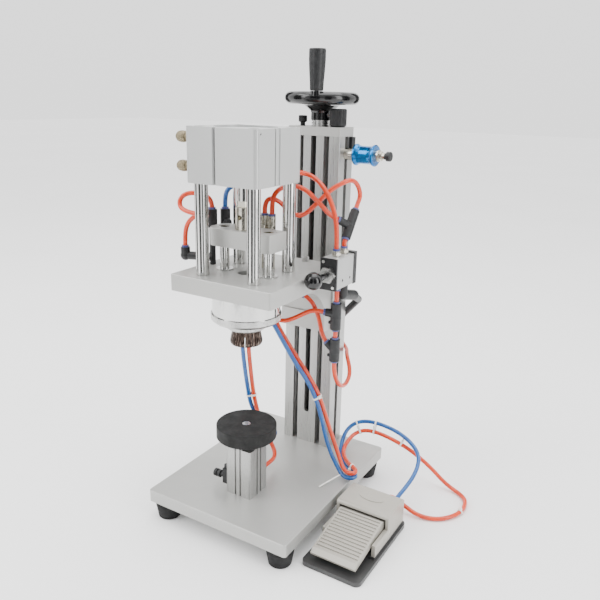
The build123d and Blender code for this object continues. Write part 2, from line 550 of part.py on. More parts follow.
ped -= rod_x(-PW - 1, -PW + 4, HEAD_Y - 12, 60.0, 3.0)
save("pedestal_body", ped)

pr = rod(0, HEAD_Y, BASE_TOP + 17, BASE_TOP + 27, 12.44) + rod(0, HEAD_Y, BASE_TOP + 27, DISC_TOP - 18, 6.0)
pr += rod(0, HEAD_Y, DISC_TOP - 18, DISC_TOP - 4, 3.0) + rod(0, HEAD_Y, DISC_TOP - 4.0, DISC_TOP - 0.6, 5.4)
pr -= hexagon(0, HEAD_Y, DISC_TOP - 3.0, DISC_TOP, 4.4)
save("pedestal_rod", pr)
disc = turned([(3.0, DISC_TOP - DISC_T), (9.0, DISC_TOP - DISC_T), (9.0, DISC_TOP - DISC_T + 2),
               (39.0, DISC_TOP - DISC_T + 2), (DISC_R, DISC_TOP - DISC_T + 3),
               (DISC_R, DISC_TOP - 1.0), (39.0, DISC_TOP), (6.0, DISC_TOP), (6.0, DISC_TOP - 4.0),
               (3.0, DISC_TOP - 4.0)], 0, HEAD_Y)
disc -= rod(0, HEAD_Y, DISC_TOP - DISC_T - 1, DISC_TOP - 18, 6.0)
save("table_disc", disc)

PB = HEAD_Y + PW
spd = rod_x(-PW - 8, -PW + 3.8, HEAD_Y - 12, 60.0, 2.9)
spd += block(-PW - 8, -PW, HEAD_Y - 17, HEAD_Y - 7, 51.0, 73.0)
spd += rod(-PW - 4, HEAD_Y - 12, 73.0, 77.5, 3.9)
for length, r in ((6.0, 3.4), (4.0, 5.3), (2.0, 3.8), (4.0, 5.3)):
    start = spd.bounding_box().min.X
    spd += rod_x(start - length, start, HEAD_Y - 12, 60.0, r)
spb = []
for x, z in PP:
    e = rod_y(x, PB - 3.8, PB + 3.0, z, 2.9) + rod_y(x, PB, PB + 9.0, z, 5.0)
    spb.append(e - rod_y(x, PB + 4.0, PB + 10.0, z, TUBE_R))
spb += [collar((x, PB + 9.0, z), (0, 1, 0)) for x, z in PP]
save("frame_fittings", spd, tip, bracket, *spb)

# ================= foot pedal =================
PX0, PX1 = 118.0, 193.0
shell = block(PX0, PX1, -24.0, 28.0, 10.0, 45.0)
shell = fillet(shell.edges().filter_by(Axis.X).group_by(Axis.Z)[-1], 5.0)
shell += Pos(155.5, 4.0, 44.9) * extrude(Ellipse(17.0, 7.5), 0.9)
shell += block(PX0, PX0 + 5, -62.0, -24.0, 10.0, 26.0) + block(PX1 - 5, PX1, -62.0, -24.0, 10.0, 26.0)
shell -= block(PX0 + 4, PX1 - 4, -25.0, 22.0, 9.0, 40.0)
shell -= rod_x(PX0 - 1, PX1 + 1, -18.0, 20.0, 3.06)
PEDP = [(140.0, 22.0), (157.0, 22.0), (175.0, 28.0)]
for x, z in PEDP:
    shell -= rod_y(x, 20.0, 30.0, z, 4.5)
save("pedal_cover", shell)
pb = soft(block(PX0 - 3, PX1 + 3, -112.0, 34.0, 0.0, 6.0), 8.0)
pb += block(PX0, PX1, -62.0, 28.0, 6.0, 10.0)
pb += block(PX0 + 12, PX1 - 12, 0.0, 20.0, 10.0, 30.0)
save("pedal_base", pb)
side = [(-104.0, 17.0), (-98.0, 21.5), (-27.0, 38.0), (-10.0, 31.0), (-8.0, 25.0),
        (-14.0, 15.6), (-24.0, 17.5), (-60.0, 21.0), (-103.0, 14.0)]
tf = make_face(Polyline(*[(0, y, z) for y, z in side], close=True))
tread = extrude(tf, PX1 - PX0 - 13.0, dir=(1, 0, 0))
tread = Pos(PX0 + 6.5, 0, 0) * tread
tread -= rod_x(PX0, PX1, -18.0, 20.0, 3.0)
for i in range(13):
    y = -94.0 + 5.2 * i
    z = 21.5 + (y + 98.0) * 16.5 / 71.0
    tread -= block(PX0 + 9, PX1 - 9, y, y + 2.2, z - 0.9, z + 4.0)
save("treadle", tread)
pp = rod_x(PX0, PX1, -18.0, 20.0, 2.96)
pf = [pp]
for x, z in PEDP:
    m = rod_y(x, 22.0, 28.0, z, 4.5) + rod_y(x, 28.0, 38.0, z, 5.6)
    if x > 150:
        m = m - rod_y(x, 33.0, 39.0, z, TUBE_R)
    else:
        m = m + rod_y(x, 38.0, 50.0, z, 4.6) - rod_y(x, 49.0, 51.0, z, 2.0)
    pf.append(m)
pf += [collar((x, 38.0, z), (0, 1, 0)) for x, z in PEDP[1:]]
save("pedal_fittings", *pf)

# ================= soft tubes =================
TUBES = {
    "tube_valve_feed": [
        (30, CY1 + 14.6, 467), (31, 10, 466.5), (42, 15, 463), (55, 12, 457), (66, 10, 447.5),
        (76, 8.5, 433), (83, 7.6, 415), (85.8, 7.4, 396), (86, 7.5, VZ1 + 9.6)],
    "tube_upper_front": [
        (14, -30, 417.6), (14, -30.5, 430), (13.5, -25, 442), (18, -12, 450), (30, 0, 451), (43, 5, 445),
        (54, 9, 434), (62, 16, 423), (68, 22.2, 414.4), (74.5, 29.3, 409.2)],
    "tube_upper_back": [
        (3, -30, 417.6), (3, -30.5, 429), (6, -23, 436.5), (13, -12, 431), (20, -3, 419.5),
        (28, 4, 412.5), (37, 8.5, 413.5), (46.5, 14.5, 423.5), (56, 22, 436), (66, 27, 447),
        (76, 33, 454), (82, 43, 458), (84.5, 54, 455.5), (86, 63, 447), (86.6, 67, 435.5),
        (86, 61.5, 427), (86, 56.52, 420.11)],
    "tube_left_loop": [
        (-61, -54, 421.6), (-61, -55, 430), (-66, -61, 437), (-78, -69, 440), (-89, -75, 437),
        (-94, -78, 428.5), (-90, -80, 420.5), (-79, -80, 417), (-66, -80, 416), (-54, -78, 415),
        (-48, -71, 413.5), (-53, -66, 412), (-66, -66, 411.5), (-80, -66, 409.5), (-91, -66.5, 400),
        (-95.5, -67, 386), (-95.5, -67, 370.6)],
    "tube_blue_back": [
        (-54, -36, 420.6), (-54.5, -35.5, 431), (-56.5, -29, 440.5), (-55, -18, 445.5), (-47, -9, 447),
        (-37, -6.5, 446.5), (-31, -8.5, 451.5), (-30, -10, 460.4)],
    "tube_flange_tee": [
        (6, -12.5, 303.4), (6, -13, 291), (7.5, -12.5, 280), (13, -10.5, 273), (22, -7.5, 273),
        (33, -5, 278), (46, -2, 286), (59, 1.12, 293.32), (71.12, 6.45, 291.38)],
    "tube_lower_tee": [
        (42.36, 7.39, 308.02), (51, 9, 302), (57, 10, 292), (61.5, 11, 281), (65, 10.5, 269.5),
        (68.5, 9.8, 258), (73.68, 10.65, 250.32)],
    "tube_tee_loop": [
        (86, 13, 221.9), (86, 13.5, 210), (87, 18, 196), (87, 28, 184), (86, 42, 176.5),
        (83.5, 57, 174), (79.5, 74, 176.5), (72.5, 89, 181.5), (63.5, 102, 186.5), (55.5, 113, 189.5),
        (49, 124, 190.5), (43.5, 135, 190.5), (36, 144.5, 191), (27.5, 150.5, 194), (20, 150, 204.5),
        (20, 150, 219.4)],
    "hose_table_blue": [
        (-42, -14, 303.4), (-42.5, -14.5, 283), (-44, -14.8, 252), (-43.4, -14.5, 222),
        (-38.8, -14.5, 188), (-35, -13, 160), (-33.5, -8, 134), (-28, 4, 112), (-12, 10, 101),
        (4, 2, 98), (6.5, -16, 98), (6.5, -33.9, 98)],
    "hose_table_orange": [
        (-31, -8, 303.4), (-32.5, -8.3, 283), (-37, -8.5, 250), (-37.2, -9, 222), (-33, -9.3, 188),
        (-29.5, -8.5, 158), (-25, -6.5, 133), (-19, -1, 105), (-14, 8, 82), (-3, 8, 66), (6, -5, 62.5),
        (6.5, -20, 62), (6.5, -33.9, 62)],
    "hose_pedal_blue": [
        (-10, -13, 303.4), (-8.5, -13.4, 290), (-3, -13.3, 279), (5, -11.3, 267.5), (17, -7, 245),
        (31, -1, 218.5), (40, 5, 201), (47.5, 10.5, 186.5), (57, 18, 161), (63.5, 25.5, 129),
        (67.5, 30.5, 100), (75, 34, 74), (87, 33, 56), (99, 27, 47.5),
        (110.5, 26, 47.5), (117, 34.5, 47.5), (111, 43.5, 47), (99, 48.5, 46), (86, 58, 45.6),
        (74, 72, 45.4), (64, 88, 46.5), (58, 104, 54), (57, 118, 65), (64, 131, 74), (78, 138, 79),
        (97, 141, 80), (119, 142, 77.5), (141, 141, 72), (161, 136, 63.5), (175, 124, 56),
        (181, 106, 50), (182, 87, 43), (179, 70, 35), (175.5, 55, 29), (175, 40.6, 28)],
    "hose_pedal_orange": [
        (-4, -1, 303.4), (-3.2, -1.5, 290), (-0.5, -2, 276), (6, -1, 261), (18.5, 3.5, 239),
        (33, 9, 215), (43.5, 14, 197), (52, 18.5, 181), (60, 25.5, 158), (67, 33, 126),
        (73, 39.5, 99), (80.5, 42, 77), (90, 38, 61), (100, 30, 55),
        (110.5, 27, 54.5), (116.5, 34.5, 54.5), (111, 43, 54.5), (99.5, 49.5, 53.5), (87, 60, 53),
        (76, 74, 52.5), (69, 90, 52), (66, 106, 54.5), (68, 120, 60), (77, 130.5, 65.5), (92, 134, 68),
        (111, 134.5, 67), (131, 136, 62), (152, 140, 53), (172, 143, 41), (191, 145.5, 27), (207, 147, 13),
        (222, 147, 5), (237, 142, 3.3), (248, 130, 3.2), (252, 114, 3.3), (251, 97, 3.2), (244, 81, 3.3),
        (232, 68, 3.2), (216, 60, 3.4), (199, 57, 6), (183, 58, 12), (167, 60, 18), (158.5, 53.5, 21.5),
        (157, 40.6, 22)],
}
stubs = [
    rod(86, 13, 306.1, VZ0 - 6.6, TUBE_R),
    rod(86, 13, 257.1, 265.9, TUBE_R),
]
ua = Vector(*UA) + (Vector(*UA) - Vector(*UM)).normalized() * 2.6
ux, uy = VTOP[1]
stub_lean = (UA[2] - UM[2]) / (UA[1] - UM[1])
stub_bend = (ux, uy, ua.Z - (ua.Y - uy) * stub_lean)
stubs.append(tube([tuple(ua), stub_bend, (ux, uy, VZ1 + 9.6)], name="stub"))
save("tube_stubs", *stubs)
for n, pts in TUBES.items():
    save(n, tube(pts, name=n))
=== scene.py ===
"""Looks of the bench-top capping machine: cords, small parts, materials, light and camera."""

import json
import math

import bpy
from mathutils import Matrix, Vector

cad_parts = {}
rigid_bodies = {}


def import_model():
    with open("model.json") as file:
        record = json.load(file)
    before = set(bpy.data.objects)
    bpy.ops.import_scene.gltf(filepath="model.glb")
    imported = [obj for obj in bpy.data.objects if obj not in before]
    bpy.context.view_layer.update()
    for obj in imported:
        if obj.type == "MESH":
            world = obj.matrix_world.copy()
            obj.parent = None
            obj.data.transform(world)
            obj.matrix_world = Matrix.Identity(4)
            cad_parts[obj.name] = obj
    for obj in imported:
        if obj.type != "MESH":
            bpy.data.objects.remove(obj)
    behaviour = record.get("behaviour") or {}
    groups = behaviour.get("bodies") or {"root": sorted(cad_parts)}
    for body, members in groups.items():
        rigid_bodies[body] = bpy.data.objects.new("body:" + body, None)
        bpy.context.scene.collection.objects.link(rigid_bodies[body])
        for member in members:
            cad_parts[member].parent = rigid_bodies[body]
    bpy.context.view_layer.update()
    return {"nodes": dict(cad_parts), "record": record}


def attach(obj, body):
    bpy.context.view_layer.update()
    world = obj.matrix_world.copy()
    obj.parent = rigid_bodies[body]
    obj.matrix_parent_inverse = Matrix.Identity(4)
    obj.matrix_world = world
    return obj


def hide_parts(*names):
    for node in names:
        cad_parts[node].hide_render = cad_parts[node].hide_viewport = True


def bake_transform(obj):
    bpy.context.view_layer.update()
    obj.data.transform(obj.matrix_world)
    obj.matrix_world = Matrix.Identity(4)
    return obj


for leftover in list(bpy.data.objects):
    bpy.data.objects.remove(leftover)
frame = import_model()

MM = 0.001
HEAD_Y = -65.5          # axis of the press head, mm
COLUMN_Y = 112.0        # axis of the column and the lead screw, mm
TUBE_D = 6.0            # outside diameter of the air tube, mm

CAMERA_PLACE = (0.45918, -0.70275, 0.55476)     # metres
CAMERA_ANGLES = (30.87, 17.09, 1.32)            # turn to the left, tilt down and roll, degrees
CAMERA_LENS = 39.31                             # mm, on a 36 mm sensor

# Sockets of a Mix node that mixes colours: both inputs and the output.
MIX_FIRST, MIX_SECOND, MIX_RESULT = 6, 7, 2


def add_object(name, data):
    made = bpy.data.objects.new(name, data)
    bpy.context.scene.collection.objects.link(made)
    return made


# ---------------------------------------------------------------- camera

def place_camera():
    """The camera stands to the right of the operator and looks down a little."""
    yaw, pitch, roll = (math.radians(a) for a in CAMERA_ANGLES)
    ahead = Vector((-math.sin(yaw) * math.cos(pitch), math.cos(yaw) * math.cos(pitch),
                    -math.sin(pitch)))
    level = Vector((math.cos(yaw), math.sin(yaw), 0.0))
    above = level.cross(ahead)
    right = math.cos(roll) * level + math.sin(roll) * above
    up = -math.sin(roll) * level + math.cos(roll) * above
    data = bpy.data.cameras.new("camera")
    data.sensor_width = 36.0
    data.lens = CAMERA_LENS
    data.clip_start = 0.05
    data.clip_end = 60.0
    camera = add_object("camera", data)
    turn = Matrix((right, up, -ahead)).transposed()
    camera.matrix_world = Matrix.Translation(Vector(CAMERA_PLACE)) @ turn.to_4x4()
    bpy.context.scene.camera = camera


# ---------------------------------------------------------------- material nodes

def linear(red, green, blue):
    """A linear colour from 0-255 display values."""
    def one(value):
        v = value / 255
        return v / 12.92 if v <= 0.04045 else ((v + 0.055) / 1.055) ** 2.4
    return (one(red), one(green), one(blue), 1.0)


def grey(level):
    return (level, level, level, 1.0)


def shade(colour, factor):
    """The colour made darker or brighter."""
    return (*(min(1.0, c * factor) for c in colour[:3]), 1.0)


def ramp_node(tree, value, stops):
    """Colours at places along value: stops are (place, colour)."""
    made = tree.nodes.new("ShaderNodeValToRGB")
    ramp = made.color_ramp
    for stop, (place, colour) in zip(ramp.elements, stops):
        stop.position, stop.color = place, colour
    for place, colour in stops[2:]:
        ramp.elements.new(place).color = colour
    tree.links.new(value, made.inputs["Fac"])
    return made.outputs["Color"]


class Finish:
    """Builds one node material, with everything measured in metres on the object's own axes."""

    def __init__(self, name, **constants):
        self.material = bpy.data.materials.new(name)
        self.material.use_nodes = True
        self.tree = self.material.node_tree
        self.shader = self.tree.nodes["Principled BSDF"]
        self.place = self.node("ShaderNodeTexCoord").outputs["Object"]
        for socket, value in constants.items():
            self.shader.inputs[socket.replace("_", " ")].default_value = value

    def node(self, kind, **settings):
        made = self.tree.nodes.new(kind)
        for key, value in settings.items():
            setattr(made, key, value)
        return made

    def link(self, source, target):
        self.tree.links.new(source, target)

    def noise(self, scale, stretch=(1, 1, 1), detail=3.0, roughness=0.55):
        """Noise with scale grains to a metre, drawn out along an axis where stretch is small."""
        mapping = self.node("ShaderNodeMapping")
        mapping.inputs["Scale"].default_value = stretch
        self.link(self.place, mapping.inputs["Vector"])
        made = self.node("ShaderNodeTexNoise")
        made.inputs["Scale"].default_value = scale
        made.inputs["Detail"].default_value = detail
        made.inputs["Roughness"].default_value = roughness
        self.link(mapping.outputs["Vector"], made.inputs["Vector"])
        return made.outputs["Fac"]

    def cells(self, scale):
        made = self.node("ShaderNodeTexVoronoi")
        made.inputs["Scale"].default_value = scale
        self.link(self.place, made.inputs["Vector"])
        return made.outputs["Distance"]

    def ramp(self, value, *stops):
        return ramp_node(self.tree, value, stops)

    def span(self, value, low, high, start=0.3, end=0.7):
        """low where value is start and high where it is end."""
        made = self.node("ShaderNodeMapRange")
        for socket, number in (("From Min", start), ("From Max", end),
                               ("To Min", low), ("To Max", high)):
            made.inputs[socket].default_value = number
        self.link(value, made.inputs["Value"])
        return made.outputs["Result"]

    def mix(self, share, first, second):
        """The output first where share is 0, and the colour second where it is 1."""
        made = self.node("ShaderNodeMix", data_type="RGBA")
        self.link(share, made.inputs["Factor"])
        self.link(first, made.inputs[MIX_FIRST])
        made.inputs[MIX_SECOND].default_value = second
        return made.outputs[MIX_RESULT]

    def colour(self, output):
        self.link(output, self.shader.inputs["Base Color"])

    def roughness(self, output):
        self.link(output, self.shader.inputs["Roughness"])

    def bump(self, value, depth, strength):
        """Adds relief of the given depth in metres, and returns the whole material."""
        made = self.node("ShaderNodeBump")
        made.inputs["Strength"].default_value = strength
        made.inputs["Distance"].default_value = depth
        self.link(value, made.inputs["Height"])
        self.link(made.outputs["Normal"], self.shader.inputs["Normal"])
        return self.material


# ---------------------------------------------------------------- the finishes

def blasted(name, colour, metallic=0.45, rough=(0.36, 0.5)):
    """Bead-blasted, anodised aluminium plate."""
    f = Finish(name, Metallic=metallic, Specular_IOR_Level=0.5)
    broad = f.noise(9, detail=4)
    fine = f.noise(2600, detail=2)
    clouds = f.ramp(broad, (0.3, shade(colour, 0.95)), (0.7, colour))
    f.colour(f.mix(f.span(fine, 0.0, 0.35), clouds, shade(colour, 0.9)))
    f.roughness(f.span(f.noise(55, detail=5), *rough))
    return f.bump(fine, 0.00002, 0.5)


def drawn(name, colour, along):
    """Drawn metal, with fine lines along one axis (0, 1 or 2)."""
    f = Finish(name, Metallic=0.8)
    lines = f.noise(2200, [0.012 if i == along else 1.0 for i in range(3)], detail=2)
    broad = f.noise(160, [0.05 if i == along else 1.0 for i in range(3)], detail=3)
    dark = shade(colour, 0.88)
    f.colour(f.mix(f.span(lines, 0.0, 0.5), f.ramp(broad, (0.3, dark), (0.7, colour)), dark))
    f.roughness(f.span(lines, 0.22, 0.42))
    return f.bump(lines, 0.000015, 0.4)


def bright(name, colour):
    """Hard chromed and ground steel."""
    f = Finish(name, Metallic=1.0)
    f.colour(f.ramp(f.noise(30, detail=2), (0.3, shade(colour, 0.93)), (0.7, colour)))
    f.roughness(f.span(f.noise(420, (1, 1, 0.25), detail=4), 0.05, 0.14))
    return f.bump(f.noise(1500, (0.2, 0.2, 1), detail=2), 0.000004, 0.3)


def turned_steel(name, colour, rough=(0.2, 0.38)):
    """Steel faced on a lathe: rings of fine tool marks and a few dull spots."""
    f = Finish(name, Metallic=1.0)
    marks = f.noise(4200, (0.05, 0.05, 1), detail=2)
    spots = f.noise(240, detail=5, roughness=0.7)
    f.colour(f.ramp(spots, (0.34, shade(colour, 0.72)), (0.5, colour)))
    f.roughness(f.span(marks, *rough))
    return f.bump(marks, 0.00002, 0.5)


def moulded(name, colour, rough=(0.38, 0.55), dust=0.08):
    """Moulded plastic with a fine eroded grain and a trace of dust."""
    f = Finish(name)
    dusty = tuple(c + dust * (0.5 - c) for c in colour[:3]) + (1.0,)
    f.colour(f.ramp(f.noise(130, detail=6, roughness=0.7), (0.42, colour), (0.8, dusty)))
    f.roughness(f.span(f.noise(300, detail=3), *rough))
    return f.bump(f.noise(1800, detail=2), 0.00003, 0.35)


def glossy_black(name):
    """Polished phenolic resin with faint swirls."""
    f = Finish(name, Coat_Weight=0.2, Coat_Roughness=0.06)
    f.colour(f.ramp(f.noise(45, detail=4), (0.35, linear(5, 5, 6)), (0.75, linear(12, 12, 13))))
    f.roughness(f.span(f.noise(500, detail=4), 0.1, 0.22))
    return f.bump(f.noise(120, detail=2), 0.00006, 0.12)


def rubber(name, colour, dust, grain=900):
    """Dull rubber, dusty in patches."""
    f = Finish(name, Specular_IOR_Level=0.35)
    f.colour(f.ramp(f.noise(210, detail=8, roughness=0.75), (0.45, colour), (0.72, dust)))
    f.roughness(f.span(f.noise(80, detail=3), 0.6, 0.82))
    return f.bump(f.noise(grain, detail=5, roughness=0.7), 0.00012, 0.4)


def painted(name, colour):
    """Powder-painted die casting with an orange-peel skin."""
    f = Finish(name, Metallic=0.25, Coat_Weight=0.15, Coat_Roughness=0.35)
    f.colour(f.ramp(f.noise(24, detail=4), (0.3, shade(colour, 0.94)), (0.7, colour)))
    f.roughness(f.span(f.noise(160, detail=3), 0.34, 0.48))
    return f.bump(f.noise(620, detail=2), 0.00006, 0.4)


def anodised_blue(name):
    """Blue anodised aluminium, turned about the X axis."""
    f = Finish(name, Metallic=0.9, Coat_Weight=0.35, Coat_Roughness=0.1)
    rings = f.noise(3000, (1, 0.04, 0.04), detail=2)
    f.colour(f.ramp(f.noise(60, detail=3), (0.3, linear(4, 92, 160)), (0.7, linear(10, 124, 190))))
    f.roughness(f.span(rings, 0.16, 0.3))
    return f.bump(rings, 0.00002, 0.35)


def sintered(name, colour):
    """Grains of bronze pressed together."""
    f = Finish(name, Metallic=0.8)
    grains = f.cells(1500)
    f.colour(f.ramp(grains, (0.1, colour), (0.75, shade(colour, 0.3))))
    f.roughness(f.span(grains, 0.42, 0.75, 0.1, 0.7))
    return f.bump(grains, 0.0003, 0.6)


def gunmetal(name):
    """Darkened bronze fingers, rubbed brighter where caps slide on them."""
    f = Finish(name, Metallic=0.9)
    wear = f.noise(700, (1, 1, 0.12), detail=4, roughness=0.65)
    stain = f.noise(120, detail=3)
    worn = f.ramp(wear, (0.36, linear(38, 32, 30)), (0.52, linear(92, 76, 68)),
                  (0.7, linear(182, 166, 154)))
    f.colour(f.mix(f.span(stain, 0.0, 0.45), worn, linear(56, 46, 42)))
    f.roughness(f.span(wear, 0.48, 0.24))
    return f.bump(wear, 0.00005, 0.5)


def soft_tube(name, colour, deep):
    """Polyurethane air tube: glossy, a little translucent, with scuffs and draw lines."""
    f = Finish(name, Subsurface_Weight=0.18, Subsurface_Radius=(0.004, 0.0016, 0.001),
               Subsurface_Scale=0.4, Coat_Weight=0.25, Coat_Roughness=0.15, IOR=1.5)
    cloud = f.noise(70, detail=3)
    scuff = f.noise(900, detail=5, roughness=0.7)
    f.colour(f.mix(f.span(scuff, 0.0, 0.3, 0.5, 0.8),
                   f.ramp(cloud, (0.3, deep), (0.7, colour)), shade(colour, 1.25)))
    f.roughness(f.span(scuff, 0.2, 0.42))
    return f.bump(cloud, 0.0002, 0.12)


def nylon(name):
    """Milky cable-tie nylon."""
    f = Finish(name, Subsurface_Weight=0.35, Subsurface_Radius=(0.002, 0.002, 0.0018),
               Subsurface_Scale=0.3)
    f.colour(f.ramp(f.noise(200, detail=3), (0.3, linear(222, 221, 214)),
                    (0.7, linear(243, 243, 240))))
    f.roughness(f.span(f.noise(600, detail=3), 0.3, 0.5))
    return f.bump(f.noise(1400, detail=2), 0.00003, 0.3)


def make_finishes():
    """One material for each of the record's slots, and one for the cable ties."""
    return {
        "plate_alu": blasted("plate_alu", linear(178, 178, 175)),
        "cyl_alu": blasted("cyl_alu", linear(184, 185, 184), metallic=0.4, rough=(0.3, 0.44)),
        "profile_alu": drawn("profile_alu", linear(180, 180, 178), along=2),
        "steel": turned_steel("steel", linear(196, 196, 194)),
        "steel_nickel": turned_steel("steel_nickel", linear(200, 196, 184), rough=(0.14, 0.28)),
        "chrome_rod": bright("chrome_rod", linear(214, 214, 212)),
        "brass": turned_steel("brass", linear(186, 152, 88)),
        "bronze": sintered("bronze", linear(186, 172, 142)),
        "gunmetal": gunmetal("gunmetal"),
        "screw_black": moulded("screw_black", linear(24, 24, 25), rough=(0.3, 0.45)),
        "rubber_black": rubber("rubber_black", linear(13, 13, 14), linear(26, 26, 27)),
        "rubber_disc": rubber("rubber_disc", linear(24, 24, 24), linear(34, 34, 33), grain=1400),
        "plastic_black": moulded("plastic_black", linear(17, 18, 20), dust=0.03),
        "bakelite": glossy_black("bakelite"),
        "blue_anodised": anodised_blue("blue_anodised"),
        "pedal_grey": painted("pedal_grey", linear(168, 164, 155)),
        "steel_dark": painted("steel_dark", linear(62, 62, 62)),
        "collar_blue": moulded("collar_blue", linear(66, 72, 128), rough=(0.25, 0.4), dust=0.2),
        "tube_orange": soft_tube("tube_orange", linear(214, 64, 12), linear(194, 48, 8)),
        "tube_blue": soft_tube("tube_blue", linear(22, 92, 160), linear(14, 72, 138)),
        "nylon": nylon("nylon"),
    }


# ---------------------------------------------------------------- meshes

def new_piece(name, vertices, faces, smooth=True):
    """A mesh object from vertices in millimetres."""
    data = bpy.data.meshes.new(name)
    data.from_pydata([Vector(v) * MM for v in vertices], [], faces)
    data.update()
    for polygon in data.polygons:
        polygon.use_smooth = smooth
    return add_object(name, data)


def dress(piece, slot):
    """Gives a piece the material of one slot."""
    piece.data.materials.clear()
    piece.data.materials.append(FINISHES[slot])
    return piece


def sharpen(piece, degrees=35):
    """Keeps edges sharper than this angle crisp on a smooth-shaded mesh."""
    data = piece.data
    limit = math.radians(degrees)
    faces_at = {}
    for polygon in data.polygons:
        for key in polygon.edge_keys:
            faces_at.setdefault(key, []).append(polygon.normal)
    sharp = data.attributes.new("sharp_edge", "BOOLEAN", "EDGE")
    for edge in data.edges:
        normals = faces_at.get(tuple(sorted(edge.vertices)), [])
        crisp = len(normals) == 2 and normals[0].angle(normals[1], 0) > limit
        sharp.data[edge.index].value = crisp
    return piece


def turned(profile, segments, y, relief=None):
    """Vertices and faces of a closed ring turned about a vertical axis from (radius, z) pairs.

    relief(radius, angle, z) gives the radius where the surface has a pattern."""
    vertices, faces = [], []
    rows = len(profile)
    for i in range(segments):
        angle = 2 * math.pi * i / segments
        for radius, z in profile:
            r = relief(radius, angle, z) if relief else radius
            vertices.append((r * math.cos(angle), y + r * math.sin(angle), z))
    for i in range(segments):
        a, b = i * rows, (i + 1) % segments * rows
        for k in range(rows):
            n = (k + 1) % rows
            faces.append((a + k, b + k, b + n, a + n))
    return vertices, faces


def make_knurled_ring():
    """The adjusting ring under the collet unit, with a diamond knurl round it."""
    inner, top, bottom = 17.2, 287.2, 275.3
    outline = [(25.7, top), (25.7, 281.5), (24.8, 278.1), (22.0, 275.9)]
    top_radius, top_chamfer, foot_radius = 25.0, 0.35, 19.6
    row_gap = 0.42                              # between rows of vertices along the knurl
    segments, diamonds, pitch, depth = 504, 84, 1.9, 0.42
    knurl_end, knurl_margin = 22.5, 0.2         # smooth inside this radius, and at the very top
    steepness = 1.15                            # over 1 gives the grooves a flat floor

    outer = [(top_radius, top)]
    for (r0, z0), (r1, z1) in zip(outline, outline[1:]):
        steps = max(2, round(math.hypot(r1 - r0, z1 - z0) / row_gap))
        for k in range(steps):
            t = k / steps
            drop = top_chamfer if not k and z0 == top else 0
            outer.append((r0 + t * (r1 - r0), z0 + t * (z1 - z0) - drop))
    profile = outer + [outline[-1], (foot_radius, bottom), (inner, bottom), (inner, top)]

    def knurl(radius, angle, z):
        if radius < knurl_end or z > top - knurl_margin:
            return radius
        around, along = diamonds * angle / (2 * math.pi), z / pitch
        one = abs((around + along) % 1 - 0.5)
        other = abs((around - along) % 1 - 0.5)
        return radius - depth * (1 - 2 * min(0.5, max(one, other) * steepness))

    ring = new_piece("adjusting_ring_knurled", *turned(profile, segments, HEAD_Y, knurl))
    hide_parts("adjusting_ring")
    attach(dress(sharpen(ring), "steel"), "adjusting_ring")


def make_lead_screw():
    """The lead screw with its trapezoidal thread, seen through the slot in the column."""
    lead, crest, root, sides = 5.0, 5.95, 4.4, 24
    tooth = [(root, 0.0), (root, 1.6), (crest, 2.25), (crest, 4.35)]
    thread_low, thread_high = 64.0, 500.0
    low, shoulder, high = 62.0, 504.9, 543.0    # the shank's ends and the foot of its journal
    journal, axis = 6.0, 0.01                   # radii; the axis is kept open by a hair

    pitches = int((thread_high - thread_low) / lead)
    rows = [(r, thread_low + p * lead + z) for p in range(pitches) for r, z in tooth]
    vertices, faces = [], []
    for r, z in rows:
        for j in range(sides):
            angle = 2 * math.pi * j / sides
            vertices.append((r * math.cos(angle), COLUMN_Y + r * math.sin(angle),
                             z + lead * j / sides))
    for k in range(len(rows) - 1 - len(tooth)):
        for j in range(sides):
            last = j == sides - 1               # there the thread goes on one pitch higher
            step = len(tooth) * sides if last else 0
            following = 0 if last else j + 1
            faces.append((k * sides + j, k * sides + step + following,
                          (k + 1) * sides + step + following, (k + 1) * sides + j))
    plain = [(axis, low), (root, low), (root, shoulder), (journal, shoulder),
             (journal, high), (axis, high)]
    more, walls = turned(plain, sides, COLUMN_Y)
    base = len(vertices)
    screw = new_piece("lead_screw_threaded", vertices + more,
                      faces + [tuple(base + i for i in wall) for wall in walls])
    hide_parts("lead_screw")
    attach(dress(sharpen(screw, 25), "steel"), "handwheel")


# ---------------------------------------------------------------- air tubes

